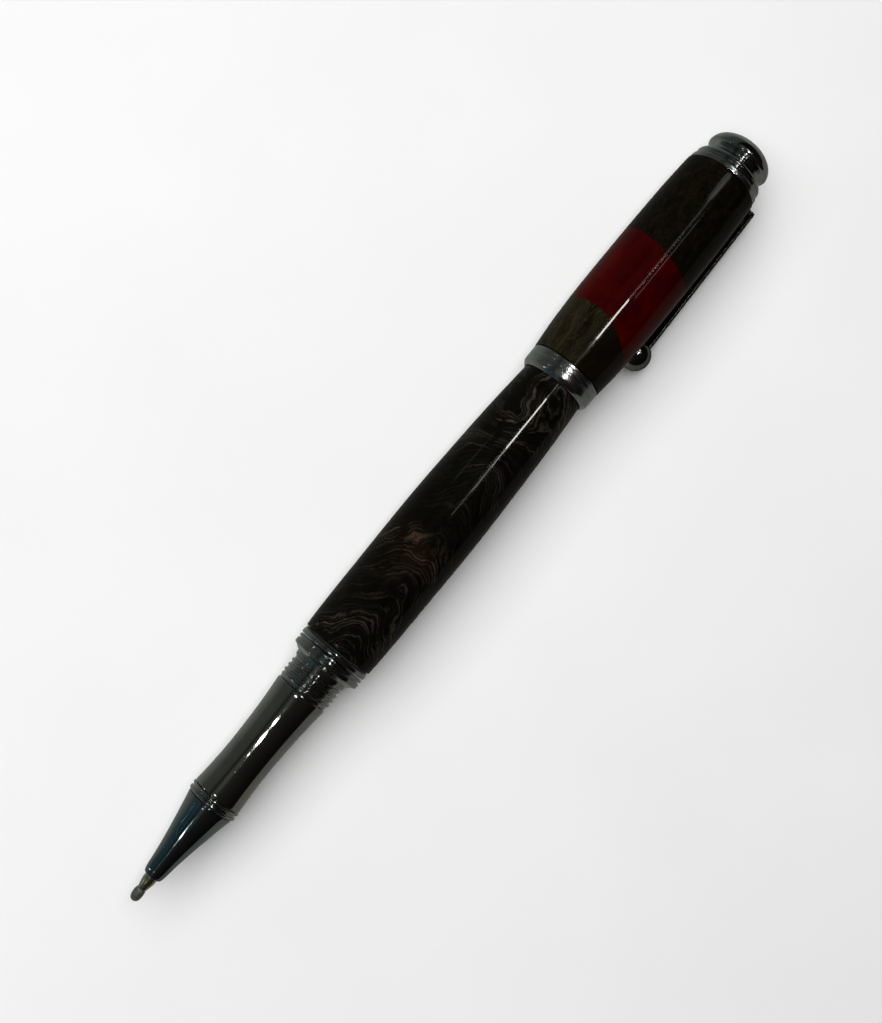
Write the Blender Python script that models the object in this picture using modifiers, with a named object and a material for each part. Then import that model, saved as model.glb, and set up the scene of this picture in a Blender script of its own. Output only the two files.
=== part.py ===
"""Rollerball pen with its cap posted on the back of the barrel, lying on a table.

Metres, +Z up. The pen's axis is level and runs along +X, from the writing tip to the finial. Its pocket clip
leans down towards -Y, so the pen rests on the widest part of the cap and on the clip's ball, at z = 0.
Stations along the pen are in millimetres from the front of the tip, and radii are in millimetres.
"""

import math

import bmesh
import bpy

MM = 0.001

# Stations along the pen
TIP_FRONT = 1.2  # lip of the socket that holds the writing ball
BALL_CENTRE = 1.25
NOSE_FRONT = 4.95
NOSE_END = 19.65
TRIM_FRONT = 19.8
TRIM_END = 21.25
GRIP_FRONT = 21.4
GRIP_END = 42.9
COUPLER_FRONT = 43.1
CAP_SEAT = 48.2  # shoulder that the cap's lip meets when the pen is closed
BAND_FRONT = 50.75
BAND_END = 51.65
SPACER_END = 51.95
BARREL_FRONT = 52.1
BARREL_END = 111.6
TAIL_END = 124.0
LIP_FRONT = 109.0
LIP_END = 112.7
CAP_FRONT = 112.85
RED_FRONT = 122.35
RED_END = 137.4
CAP_END = 155.1
TOP_RING_END = 156.3
CLIP_RING_FRONT = 156.4
CLIP_RING_END = 157.0
FINIAL_FRONT = 157.1
FINIAL_WIDEST = 160.1
LENGTH = 163.4

# Radii
WRITING_BALL_R = 0.35
REFILL_R = 2.95
NOSE_SPIGOT_R = 3.1
GRIP_BORE_R = 3.2
SLEEVE_R = 3.75
COUPLER_BORE_R = 3.95
BARREL_TUBE_R = 4.85
BARREL_TUBE_BORE_R = 4.5
CAP_TUBE_R = 6.15
CAP_TUBE_BORE_R = 5.75
CAP_WIDEST_R = 7.5
LIP_R = 6.65
TOP_RING_R = 6.8
FINIAL_R = 6.0
STUD_R = 1.75

FIT = 0.1  # clearance between pieces fitted one in the other
SEAM = 0.1  # gap where two pieces meet end to end

# Outside of the turned wood and resin, as (station, radius)
BARREL_OUTSIDE = (
    (BARREL_FRONT, 6.55), (55.0, 6.7), (65.0, 6.85), (76.0, 6.95), (83.0, 6.9), (88.0, 6.75),
    (95.0, 6.55), (100.5, 6.3), (104.5, 6.05), (108.3, 5.8), (BARREL_END, 5.55),
)
CAP_OUTSIDE = (
    (CAP_FRONT, 6.75), (115.5, 7.0), (118.1, 7.2), (RED_FRONT, 7.4), (126.5, 7.48), (131.0, CAP_WIDEST_R),
    (RED_END, 7.47), (143.5, 7.41), (148.6, 7.3), (153.9, 7.05), (CAP_END, 6.95),
)

# Clip: a leg stands out from the washer, and a flat arm runs from it down to a ball
CLIP_BALL_R = 2.85
CLIP_BALL_AT = 124.3
CLIP_BALL_REACH = 10.45  # pen's axis to the ball's centre
CLIP_ROOT_REACH = 9.8  # pen's axis to the middle of the arm, at its bend and at the ball
CLIP_TIP_REACH = 10.75
CLIP_ARM_THICK = 0.9
CLIP_ROOT_WIDTH = 3.2
CLIP_TIP_WIDTH = 3.3
CLIP_ARM_GAP = 0.15

# The clip's angle from straight down, with the cap and the clip's ball both on the table
CLIP_ANGLE = math.acos((CAP_WIDEST_R - CLIP_BALL_R) / CLIP_BALL_REACH)
AXIS_HEIGHT = CAP_WIDEST_R
# The cap reaches furthest to +Y and the clip's ball to -Y, and the origin is midway between them
AXIS_Y = (CLIP_BALL_REACH * math.sin(CLIP_ANGLE) + CLIP_BALL_R - CAP_WIDEST_R) / 2

OUTSIDE_SEGMENTS = 32
INSIDE_SEGMENTS = 24
SMALL_SEGMENTS = 16
SHARP_ANGLE = math.radians(30)


def clear_scene():
    for obj in list(bpy.data.objects):
        bpy.data.objects.remove(obj, do_unlink=True)


def new_collection(name, shown=True):
    collection = bpy.data.collections.new(name)
    collection.hide_render = not shown
    bpy.context.scene.collection.children.link(collection)
    return collection


def material(name, colour, roughness, metallic=0.0):
    made = bpy.data.materials.new(name)
    made.use_nodes = True
    shader = made.node_tree.nodes["Principled BSDF"]
    shader.inputs["Base Color"].default_value = (*colour, 1.0)
    shader.inputs["Roughness"].default_value = roughness
    shader.inputs["Metallic"].default_value = metallic
    made.diffuse_color = (*colour, 1.0)
    return made


def empty(name, location, rotation=(0, 0, 0), parent=None):
    """A frame for the pieces of one body, on the axis that the body moves about or along."""
    made = bpy.data.objects.new(name, None)
    made.empty_display_size = 5 * MM
    made.location = location
    made.rotation_euler = rotation
    made.parent = parent
    PEN.objects.link(made)
    return made


def add_object(name, data, look, parent, collection=None):
    obj = bpy.data.objects.new(name, data)
    obj.data.materials.append(look)
    obj.parent = parent
    (collection or PEN).objects.link(obj)
    return obj


def turned(name, outer, bore, look, parent, segments=OUTSIDE_SEGMENTS):
    """A piece turned about the pen's axis, from (station, radius) points listed front to back.

    Points at radius 0 are on the axis, and no edge joins two of them."""
    profile = list(reversed(outer)) + list(bore)
    count = len(profile)
    edges = [(i, (i + 1) % count) for i in range(count)]
    edges = [(i, k) for i, k in edges if profile[i][1] > 0 or profile[k][1] > 0]
    mesh = bpy.data.meshes.new(name)
    mesh.from_pydata([(radius * MM, 0, station * MM) for station, radius in profile], edges, [])
    obj = add_object(name, mesh, look, parent)
    obj.rotation_euler = (0, math.pi / 2, 0)  # the lathe's Z is the pen's X
    screw = obj.modifiers.new("turn", "SCREW")
    screw.axis = "Z"
    screw.angle = 2 * math.pi
    screw.steps = segments
    screw.render_steps = segments
    screw.use_merge_vertices = True
    screw.merge_threshold = 1e-6
    return obj


def tube(name, ends, outside, inside, look, parent, segments=INSIDE_SEGMENTS):
    outer = [(station, outside) for station in ends]
    bore = [(station, inside) for station in ends]
    return turned(name, outer, bore, look, parent, segments)


def block(name, low, high, look, parent, collection=None):
    """A block between two corners, given in millimetres in the parent's frame."""
    mesh = bpy.data.meshes.new(name)
    shape = bmesh.new()
    bmesh.ops.create_cube(shape, size=1.0)
    for vert in shape.verts:
        for axis in range(3):
            middle = (low[axis] + high[axis]) / 2
            vert.co[axis] = (middle + vert.co[axis] * (high[axis] - low[axis])) * MM
    shape.to_mesh(mesh)
    shape.free()
    return add_object(name, mesh, look, parent, collection)


def sphere(name, radius, look, parent, collection=None):
    mesh = bpy.data.meshes.new(name)
    shape = bmesh.new()
    bmesh.ops.create_uvsphere(shape, u_segments=24, v_segments=16, radius=radius * MM)
    shape.to_mesh(mesh)
    shape.free()
    return add_object(name, mesh, look, parent, collection)


def combine(obj, other, operation):
    boolean = obj.modifiers.new(operation.lower(), "BOOLEAN")
    boolean.operation = operation
    boolean.object = other
    boolean.solver = "EXACT"
    other.hide_render = True
    other.display_type = "WIRE"


def arc(centre, radii, start, end, count):
    """Points on an ellipse in the (station, radius) plane: 0 degrees points along the pen, 90 outwards."""
    points = []
    for i in range(count + 1):
        angle = math.radians(start + (end - start) * i / count)
        points.append((centre[0] + radii[0] * math.cos(angle), centre[1] + radii[1] * math.sin(angle)))
    return points


def between(table, station):
    """Value at a station, from a table of (station, value) points in order."""
    for (a, value_a), (b, value_b) in zip(table, table[1:]):
        if station <= b:
            return value_a + (value_b - value_a) * (station - a) / (b - a)
    return table[-1][1]


def bake_smooth(obj):
    """Replaces a turned piece's modifiers with their result, smooth except at its sharp edges."""
    graph = bpy.context.evaluated_depsgraph_get()
    mesh = bpy.data.meshes.new_from_object(obj.evaluated_get(graph))
    obj.modifiers.clear()
    obj.data = mesh
    mesh.name = obj.name
    mesh.shade_smooth()
    mesh.set_sharp_from_angle(angle=SHARP_ANGLE)


# Refill

TIP_CONE = ((TIP_FRONT, 0.45), (2.0, 0.65), (4.0, 1.15), (17.0, 1.15))


def writing_ball(parent):
    half = arc((0, 0), (WRITING_BALL_R, WRITING_BALL_R), 180, 0, 8)
    ends = [(-WRITING_BALL_R, 0.0)], [(WRITING_BALL_R, 0.0)]
    turned("writing_ball", ends[0] + half[1:-1] + ends[1], [], LOOKS["ball"], parent, SMALL_SEGMENTS)


def tip_wax_bead(parent):
    """Drop of sealing wax over the ball, as on a new refill. It's hollow and open at the back."""
    back = 2.3
    outer = [(0.0, 0.0), (0.12, 0.45), (0.45, 0.78), (1.0, 0.93), (1.5, 0.95), (2.0, 0.92), (back, 0.85)]
    inside = [(0.72, 0.0), (0.78, 0.35), (1.0, 0.55), (back, between(TIP_CONE, back) + 0.05)]
    turned("tip_wax_bead", outer, inside, LOOKS["wax"], parent, SMALL_SEGMENTS)


def refill(parent):
    socket = [(TIP_FRONT, 0.4), (1.75, 0.4), (1.85, 0.22), (17.0, 0.22)]
    turned("refill_tip", TIP_CONE, socket, LOOKS["bright_metal"], parent, SMALL_SEGMENTS)
    collar = [(14.3, 1.6), (15.2, 2.25), (23.6, 2.3)]
    channel = [(14.3, 1.25), (17.1, 1.25), (17.3, 0.8), (23.6, 0.8)]
    turned("refill_collar", collar, channel, LOOKS["white_plastic"], parent, INSIDE_SEGMENTS)
    tube("refill_tube", (23.8, 110.0), REFILL_R, REFILL_R - 0.4, LOOKS["refill_plastic"], parent)
    core = REFILL_R - 0.5
    outer = [(25.0, 0.0), (25.0, core), (107.5, core), (107.5, 0.0)]
    turned("refill_ink_core", outer, [], LOOKS["ink"], parent, INSIDE_SEGMENTS)
    plug = [(108.2, 0.0), (108.2, 2.4), (110.1, 2.4), (110.1, 2.9), (111.4, 2.9), (111.6, 2.7), (111.6, 0.0)]
    turned("refill_end_plug", plug, [], LOOKS["white_plastic"], parent, INSIDE_SEGMENTS)


# Grip section

def nose_cone(parent):
    outer = [(NOSE_FRONT, 1.5), (5.1, 1.62), (6.0, 1.85), (8.8, 2.2), (12.65, 2.85), (16.5, 3.62)]
    outer += [(19.2, 4.22), (NOSE_END, 4.25), (NOSE_END, NOSE_SPIGOT_R), (23.5, NOSE_SPIGOT_R)]
    bore = [(NOSE_FRONT, 1.25), (14.1, 1.25), (14.2, 2.45), (23.5, 2.45)]
    turned("nose_cone", outer, bore, LOOKS["gunmetal"], parent)


def nose_trim_ring(parent):
    """Plain band between two raised edges."""
    outer = [(TRIM_FRONT, 4.35), (19.95, 4.5), (20.15, 4.58), (20.35, 4.5), (20.75, 4.48)]
    outer += [(20.95, 4.62), (21.15, 4.6), (TRIM_END, 4.45)]
    bore = [(station, GRIP_BORE_R) for station in (TRIM_FRONT, TRIM_END)]
    turned("nose_trim_ring", outer, bore, LOOKS["gunmetal"], parent)


def grip_shell(parent):
    """Waisted tube that the fingers hold, with a wider bore at the back for the thread sleeve."""
    outer = [(GRIP_FRONT, 4.4), (21.6, 4.45), (25.0, 4.22), (28.0, 4.12), (31.0, 4.12), (35.0, 4.25)]
    outer += [(39.0, 4.5), (42.5, 4.73), (GRIP_END, 4.68)]
    step = 39.6
    bore = [(GRIP_FRONT, GRIP_BORE_R), (step, GRIP_BORE_R), (step, SLEEVE_R + FIT), (GRIP_END, SLEEVE_R + FIT)]
    turned("grip_shell", outer, bore, LOOKS["gunmetal"], parent)


def section_thread_sleeve(parent):
    front, back = 39.75, 51.4
    outer = [(front, SLEEVE_R), (back - 0.4, SLEEVE_R), (back, SLEEVE_R - 0.3)]
    bore = [(front, GRIP_BORE_R), (back, GRIP_BORE_R)]
    turned("section_thread_sleeve", outer, bore, LOOKS["brass"], parent, INSIDE_SEGMENTS)


# Barrel

def front_coupler(parent):
    """Cap thread, cap seat and first bands, with a spigot pressed into the barrel's tube."""
    root, crest, pitch, turns = 4.6, 4.85, 0.95, 4
    outer = [(COUPLER_FRONT, 4.6), (COUPLER_FRONT + 0.15, root)]
    for turn in range(turns):
        top = COUPLER_FRONT + 0.2 + pitch * (turn + 0.5)
        outer += [(top - 0.12, crest), (top + 0.12, crest), (top + pitch / 2, root)]
    outer += [(47.3, 4.95), (CAP_SEAT, 5.1), (48.3, 5.4), (48.75, 6.0), (48.85, 6.35), (49.75, 6.42)]
    outer += [(49.8, 6.15), (50.0, 6.15), (50.1, 6.42), (50.5, 6.42), (50.6, 6.15), (50.6, 4.4), (60.0, 4.4)]
    bore = [(COUPLER_FRONT, COUPLER_BORE_R), (60.0, COUPLER_BORE_R)]
    turned("front_coupler", outer, bore, LOOKS["gunmetal"], parent)


def coupler_band(parent):
    outer = [(BAND_FRONT, 6.4), (BAND_FRONT + 0.12, 6.5), (BAND_END - 0.1, 6.5), (BAND_END, 6.42)]
    bore = [(station, 4.5) for station in (BAND_FRONT, BAND_END)]
    turned("coupler_band", outer, bore, LOOKS["gunmetal"], parent)
    spacer = (BAND_END + SEAM, SPACER_END)
    tube("coupler_spacer", spacer, 6.35, 4.5, LOOKS["black_plastic"], parent, OUTSIDE_SEGMENTS)


def barrel_blank(parent):
    """Turned wood, fullest in the middle and slim where the cap goes on."""
    bore = [(station, BARREL_TUBE_R + FIT) for station in (BARREL_FRONT, BARREL_END)]
    turned("barrel_blank", BARREL_OUTSIDE, bore, LOOKS["dark_burr"], parent)


def tail_plug(parent):
    """Metal end of the barrel: a spigot in the tube, a flange and the stub that the cap screws onto."""
    flange = BARREL_END + SEAM, BARREL_END + 0.7
    outer = [(104.0, 4.35), (flange[0], 4.35), (flange[0], 5.35), (flange[1], 5.4), (flange[1], 4.5)]
    outer += [(112.6, 4.6), (118.0, 4.6), (118.4, 4.3), (122.5, 4.1), (123.6, 3.5), (TAIL_END, 2.6)]
    outer.append((TAIL_END, 0.0))
    bore = [(104.0, 3.3), (119.7, 3.3), (119.7, 0.0)]
    turned("tail_plug", outer, bore, LOOKS["gunmetal"], parent, INSIDE_SEGMENTS)


def refill_spring(parent):
    """Light coil that presses the refill forward."""
    front, back, coil_r, wire_r, turns, per_turn = 112.0, 119.2, 2.3, 0.22, 5, 12
    curve = bpy.data.curves.new("refill_spring", "CURVE")
    curve.dimensions = "3D"
    curve.bevel_depth = wire_r * MM
    curve.bevel_resolution = 2
    curve.use_fill_caps = True
    spline = curve.splines.new("POLY")
    count = turns * per_turn + 1
    spline.points.add(count - 1)
    for i, point in enumerate(spline.points):
        angle = 2 * math.pi * i / per_turn
        station = front + (back - front) * i / (count - 1)
        point.co = (station * MM, coil_r * math.cos(angle) * MM, coil_r * math.sin(angle) * MM, 1)
    add_object("refill_spring", curve, LOOKS["bright_metal"], parent)


# Cap

def cap_blank(name, front, back, look, parent):
    inner = [station for station, _ in CAP_OUTSIDE if front < station < back]
    outer = [(station, between(CAP_OUTSIDE, station)) for station in (front, *inner, back)]
    bore = [(station, CAP_TUBE_R + FIT) for station in (front, back)]
    turned(name, outer, bore, LOOKS[look], parent)


def cap_lip_ring(parent):
    """Grooved metal lip, with a spigot pressed into the cap's tube."""
    outer = [(LIP_FRONT, 6.0), (LIP_FRONT + 0.15, 6.1), (LIP_FRONT + 0.65, LIP_R - 0.05), (LIP_FRONT + 0.8, LIP_R)]
    for groove in (1.75, 3.0):
        start = LIP_FRONT + groove
        outer += [(start, LIP_R), (start + 0.08, LIP_R - 0.12), (start + 0.2, LIP_R)]
    spigot = CAP_TUBE_BORE_R - FIT
    outer += [(LIP_END, LIP_R), (LIP_END, spigot), (118.6, spigot)]
    bore = [(LIP_FRONT, 5.9), (112.45, 5.9), (112.45, 5.2), (118.6, 5.2)]
    turned("cap_lip_ring", outer, bore, LOOKS["gunmetal"], parent)


def cap_top_ring(parent):
    front = CAP_END + SEAM
    spigot = CAP_TUBE_BORE_R - FIT
    outer = [(149.5, spigot), (front, spigot), (front, TOP_RING_R - 0.12), (front + 0.12, TOP_RING_R)]
    outer += [(TOP_RING_END - 0.12, TOP_RING_R), (TOP_RING_END, TOP_RING_R - 0.12)]
    bore = [(station, STUD_R + FIT) for station in (149.5, TOP_RING_END)]
    turned("cap_top_ring", outer, bore, LOOKS["gunmetal"], parent)


def finial(parent):
    """Shoulder, narrow neck and domed head with a small flat end, and a blind bore for the stud."""
    outer = [(FINIAL_FRONT, 6.4), (157.25, 6.5), (157.6, 6.38), (158.1, 5.9), (158.5, 5.3), (158.85, 4.9)]
    outer += [(159.1, 4.95), (159.45, 5.4), (159.75, 5.8)]
    outer += arc((FINIAL_WIDEST, 0), (LENGTH - FINIAL_WIDEST + 0.15, FINIAL_R), 90, 20, 6)[:-1]
    outer += [(LENGTH, 1.8), (LENGTH, 0.0)]
    bore = [(FINIAL_FRONT, STUD_R + FIT), (160.6, STUD_R + FIT), (160.6, 0.0)]
    turned("finial", outer, bore, LOOKS["gunmetal"], parent)


def finial_stud(parent):
    outer = [(148.0, 0.0), (148.0, STUD_R - 0.3), (148.4, STUD_R), (160.4, STUD_R), (160.4, 0.0)]
    turned("finial_stud", outer, [], LOOKS["brass"], parent, SMALL_SEGMENTS)


# Clip, in frames whose +Z points away from the pen's axis

def clip_ring(axis, clip_frame):
    """Washer held under the finial, and the leg that stands out from it."""
    outer = [(CLIP_RING_FRONT, 6.5), (CLIP_RING_END, 6.5)]
    bore = [(CLIP_RING_FRONT, STUD_R + FIT), (CLIP_RING_END, STUD_R + FIT)]
    washer = turned("clip_ring", outer, bore, LOOKS["gunmetal"], axis)
    top = CLIP_ROOT_REACH - CLIP_ARM_THICK / 2 - CLIP_ARM_GAP
    low = (CLIP_RING_FRONT, -CLIP_ROOT_WIDTH / 2, 4.0)
    high = (CLIP_RING_END, CLIP_ROOT_WIDTH / 2, top)
    combine(washer, block("clip_leg", low, high, LOOKS["gunmetal"], clip_frame, HELPERS), "UNION")


def clip_arm(hinge):
    """Flat strip that runs from the top of the leg to the ball, with its end hollowed to fit the ball."""
    height = CLIP_ROOT_REACH - HINGE_HEIGHT
    front = CLIP_BALL_AT + CLIP_BALL_R - 1.0 - HINGE_STATION
    back = CLIP_RING_END + 0.05 - HINGE_STATION
    low = (front, -CLIP_ROOT_WIDTH / 2, height - CLIP_ARM_THICK / 2)
    high = (back, CLIP_ROOT_WIDTH / 2, height + CLIP_ARM_THICK / 2)
    arm = block("clip_arm", low, high, LOOKS["gunmetal"], hinge)
    for vert in arm.data.vertices:
        if vert.co.x < (front + back) / 2 * MM:
            vert.co.y *= CLIP_TIP_WIDTH / CLIP_ROOT_WIDTH
            vert.co.z += (CLIP_TIP_REACH - CLIP_ROOT_REACH) * MM
    hollow = sphere("clip_arm_hollow", CLIP_BALL_R + SEAM, LOOKS["gunmetal"], hinge, HELPERS)
    place_at_ball(hollow)
    combine(arm, hollow, "DIFFERENCE")


def clip_ball(hinge):
    ball = sphere("clip_ball", CLIP_BALL_R, LOOKS["gunmetal"], hinge)
    ball.data.shade_smooth()
    place_at_ball(ball)


def place_at_ball(obj):
    obj.location = ((CLIP_BALL_AT - HINGE_STATION) * MM, 0, (CLIP_BALL_REACH - HINGE_HEIGHT) * MM)
    obj.rotation_euler.x = CLIP_ANGLE - math.pi  # the ball's poles stand upright, so one touches the table


clear_scene()
PEN = new_collection("rollerball_pen")
HELPERS = new_collection("helpers", shown=False)
LOOKS = {
    "gunmetal": material("gunmetal_chrome", (0.20, 0.21, 0.22), 0.12, 1.0),
    "bright_metal": material("bright_metal", (0.78, 0.76, 0.70), 0.2, 1.0),
    "ball": material("tungsten_ball", (0.35, 0.35, 0.36), 0.2, 1.0),
    "brass": material("brass", (0.72, 0.52, 0.22), 0.3, 1.0),
    "dark_burr": material("dark_burr_wood", (0.035, 0.024, 0.016), 0.15),
    "streaked_burr": material("streaked_burr_wood", (0.09, 0.065, 0.03), 0.15),
    "black_wood": material("black_wood", (0.022, 0.018, 0.013), 0.15),
    "red_resin": material("red_resin", (0.12, 0.004, 0.004), 0.1),
    "wax": material("sealing_wax", (0.38, 0.38, 0.35), 0.5),
    "white_plastic": material("white_plastic", (0.8, 0.8, 0.78), 0.4),
    "refill_plastic": material("refill_plastic", (0.55, 0.56, 0.58), 0.35),
    "ink": material("ink_core", (0.01, 0.01, 0.03), 0.8),
    "black_plastic": material("black_plastic", (0.02, 0.02, 0.02), 0.4),
}
HINGE_STATION = (CLIP_RING_FRONT + CLIP_RING_END) / 2
HINGE_HEIGHT = CLIP_ROOT_REACH - (CLIP_ARM_THICK + CLIP_ARM_GAP) / 2

PEN_AXIS = empty("pen_axis", (-LENGTH / 2 * MM, AXIS_Y * MM, AXIS_HEIGHT * MM))
CAP_AXIS = empty("cap_axis", (0, 0, 0), parent=PEN_AXIS)
SECTION_AXIS = empty("section_axis", (0, 0, 0), parent=PEN_AXIS)
BALL_SEAT = empty("ball_seat", (BALL_CENTRE * MM, 0, 0), parent=SECTION_AXIS)
CLIP_FRAME = empty("clip_frame", (0, 0, 0), (math.pi - CLIP_ANGLE, 0, 0), CAP_AXIS)
CLIP_HINGE = empty("clip_hinge", (HINGE_STATION * MM, 0, HINGE_HEIGHT * MM), parent=CLIP_FRAME)

writing_ball(BALL_SEAT)
tip_wax_bead(SECTION_AXIS)
refill(SECTION_AXIS)
nose_cone(SECTION_AXIS)
nose_trim_ring(SECTION_AXIS)
grip_shell(SECTION_AXIS)
section_thread_sleeve(SECTION_AXIS)

front_coupler(PEN_AXIS)
coupler_band(PEN_AXIS)
barrel_blank(PEN_AXIS)
tube("barrel_tube", (52.3, BARREL_END - SEAM), BARREL_TUBE_R, BARREL_TUBE_BORE_R, LOOKS["brass"], PEN_AXIS)
tail_plug(PEN_AXIS)
refill_spring(PEN_AXIS)

cap_lip_ring(CAP_AXIS)
tube("cap_thread_insert", (112.6, 118.4), 5.1, 4.8, LOOKS["black_plastic"], CAP_AXIS)
tube("cap_tube", (CAP_FRONT + SEAM, CAP_END), CAP_TUBE_R, CAP_TUBE_BORE_R, LOOKS["brass"], CAP_AXIS)
cap_blank("cap_blank_lower", CAP_FRONT, RED_FRONT - SEAM / 2, "streaked_burr", CAP_AXIS)
cap_blank("cap_blank_red", RED_FRONT + SEAM / 2, RED_END - SEAM / 2, "red_resin", CAP_AXIS)
cap_blank("cap_blank_upper", RED_END + SEAM / 2, CAP_END, "black_wood", CAP_AXIS)
cap_top_ring(CAP_AXIS)
clip_ring(CAP_AXIS, CLIP_FRAME)
clip_arm(CLIP_HINGE)
clip_ball(CLIP_HINGE)
finial_stud(CAP_AXIS)
finial(CAP_AXIS)

bpy.context.view_layer.update()
for piece in list(PEN.objects):
    if any(modifier.type == "SCREW" for modifier in piece.modifiers):
        bake_smooth(piece)
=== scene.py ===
"""Looks of a rollerball pen with its cap posted, on a pale floor.

Most pieces are rebuilt smoother than their CAD solids, in the same frame, and the rest keep their solids.
Local X is the station along the pen, from the front of the tip, and local Y and Z cross the pen's axis.
Sizes are in millimetres unless said.
"""

import math
import random

import bmesh
import bpy
from mathutils import Matrix, Vector


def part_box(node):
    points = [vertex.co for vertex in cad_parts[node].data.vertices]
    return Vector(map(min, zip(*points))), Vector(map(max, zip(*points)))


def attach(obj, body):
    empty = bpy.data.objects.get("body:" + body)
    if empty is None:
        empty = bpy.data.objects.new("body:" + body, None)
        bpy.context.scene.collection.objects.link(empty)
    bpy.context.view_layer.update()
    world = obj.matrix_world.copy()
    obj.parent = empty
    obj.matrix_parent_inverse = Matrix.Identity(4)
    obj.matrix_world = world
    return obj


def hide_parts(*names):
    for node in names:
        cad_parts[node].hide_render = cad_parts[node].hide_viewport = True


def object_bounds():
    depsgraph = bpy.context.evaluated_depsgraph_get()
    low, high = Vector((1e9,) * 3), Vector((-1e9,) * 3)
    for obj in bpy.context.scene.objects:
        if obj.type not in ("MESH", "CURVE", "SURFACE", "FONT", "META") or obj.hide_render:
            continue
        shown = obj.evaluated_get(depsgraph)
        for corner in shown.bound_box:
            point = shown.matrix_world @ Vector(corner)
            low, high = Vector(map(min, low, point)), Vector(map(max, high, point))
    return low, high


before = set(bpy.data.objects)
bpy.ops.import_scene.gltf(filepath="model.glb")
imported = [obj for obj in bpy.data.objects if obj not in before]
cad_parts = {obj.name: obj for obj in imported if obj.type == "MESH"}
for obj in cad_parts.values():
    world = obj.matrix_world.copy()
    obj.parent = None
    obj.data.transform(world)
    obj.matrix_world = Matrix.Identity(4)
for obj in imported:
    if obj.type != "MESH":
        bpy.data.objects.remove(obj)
BOX_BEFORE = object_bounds()

MM = 0.001
SEGMENTS = 144
SHARP_ANGLE = 34  # degrees: a fold sharper than this shows as an edge

# The pen's frame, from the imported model
FRONT = BOX_BEFORE[0][0] / MM
BLANK_LOW, BLANK_HIGH = (Vector(corner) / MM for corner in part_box("cap_blank_red"))
AXIS_Y = (BLANK_LOW.y + BLANK_HIGH.y) / 2
AXIS_Z = (BLANK_LOW.z + BLANK_HIGH.z) / 2
ORIGIN = Vector((FRONT, AXIS_Y, AXIS_Z))
ALONG = Vector((1, 0, 0))

# Directions across the axis: towards the viewer, towards the lower right of the view, and out along the clip
VIEW_TILT = math.radians(16.4)
TO_VIEW = Vector((0, math.sin(VIEW_TILT), math.cos(VIEW_TILT)))
TO_RIGHT = Vector((0, -math.cos(VIEW_TILT), math.sin(VIEW_TILT)))
CLIP_BALL_R = 2.85
CLIP_REACH = 10.45
CLIP_ANGLE = math.acos((AXIS_Z - CLIP_BALL_R) / CLIP_REACH)
TO_CLIP = Vector((0, -math.sin(CLIP_ANGLE), -math.cos(CLIP_ANGLE)))
CLIP_SIDE = Vector((0, -math.cos(CLIP_ANGLE), math.sin(CLIP_ANGLE)))

random.seed(7)


# Meshes

def smooth_line(points, step=0.5):
    """Points on a smooth curve through (station, radius) points, by Catmull-Rom."""
    line = [points[0]]
    for i in range(len(points) - 1):
        p1, p2 = points[i], points[i + 1]
        p0 = points[i - 1] if i else (2 * p1[0] - p2[0], 2 * p1[1] - p2[1])
        p3 = points[i + 2] if i + 2 < len(points) else (2 * p2[0] - p1[0], 2 * p2[1] - p1[1])
        count = max(1, round(math.dist(p1, p2) / step))
        for k in range(1, count + 1):
            t = k / count
            line.append(tuple(
                0.5 * (
                    2 * b + (c - a) * t + (2 * a - 5 * b + 4 * c - d) * t**2 + (3 * b - a - 3 * c + d) * t**3
                )
                for a, b, c, d in zip(p0, p1, p2, p3)
            ))
    return line


def eased(points, radius=0.12, count=4):
    """The same line with its corners rounded."""
    line = [points[0]]
    for a, b, c in zip(points, points[1:], points[2:]):
        before, after = Vector(a) - Vector(b), Vector(c) - Vector(b)
        if min(before.length, after.length) < 1e-4 or before.angle(after) > math.radians(165):
            line.append(b)
            continue
        reach = min(radius, before.length * 0.45, after.length * 0.45)
        start = Vector(b) + before.normalized() * reach
        end = Vector(b) + after.normalized() * reach
        for k in range(count + 1):
            t = k / count
            line.append(tuple((1 - t) ** 2 * start + 2 * t * (1 - t) * Vector(b) + t**2 * end))
    line.append(points[-1])
    return line


def between(table, station):
    """The radius at a station, on straight lines through (station, radius) points."""
    for (a, value_a), (b, value_b) in zip(table, table[1:]):
        if station <= b:
            return value_a + (value_b - value_a) * (station - a) / (b - a)
    return table[-1][1]


def around(turn):
    """Unit vector across the axis at a turn in radians, from the viewer's side towards the lower right."""
    return TO_VIEW * math.cos(turn) + TO_RIGHT * math.sin(turn)


def grid_mesh(name, rings, closed_rows=False, caps=()):
    """A mesh from rings of points in millimetres. A ring of one point is a pole."""
    shape = bmesh.new()
    rows = [[shape.verts.new(point * MM) for point in ring] for ring in rings]
    pairs = list(zip(rows, rows[1:]))
    if closed_rows:
        pairs.append((rows[-1], rows[0]))
    for a, b in pairs:
        count = max(len(a), len(b))
        for k in range(count):
            corners = [a[k % len(a)], a[(k + 1) % len(a)], b[(k + 1) % len(b)], b[k % len(b)]]
            shape.faces.new(list(dict.fromkeys(corners)))
    for index in caps:
        shape.faces.new(rows[index])
    bmesh.ops.recalc_face_normals(shape, faces=shape.faces)
    mesh = bpy.data.meshes.new(name)
    shape.to_mesh(mesh)
    shape.free()
    return mesh


def place(name, mesh, look, body, slot, *nodes, sharp=SHARP_ANGLE):
    """The mesh as a piece on a body, in place of CAD nodes. look is None if the mesh has its materials."""
    mesh.shade_smooth()
    mesh.set_sharp_from_angle(angle=math.radians(sharp))
    piece = bpy.data.objects.new(name, mesh)
    if look:
        mesh.materials.append(look)
    bpy.context.scene.collection.objects.link(piece)
    piece.location = ORIGIN * MM
    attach(piece, body)
    if nodes:
        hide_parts(*nodes)
    return piece


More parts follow.
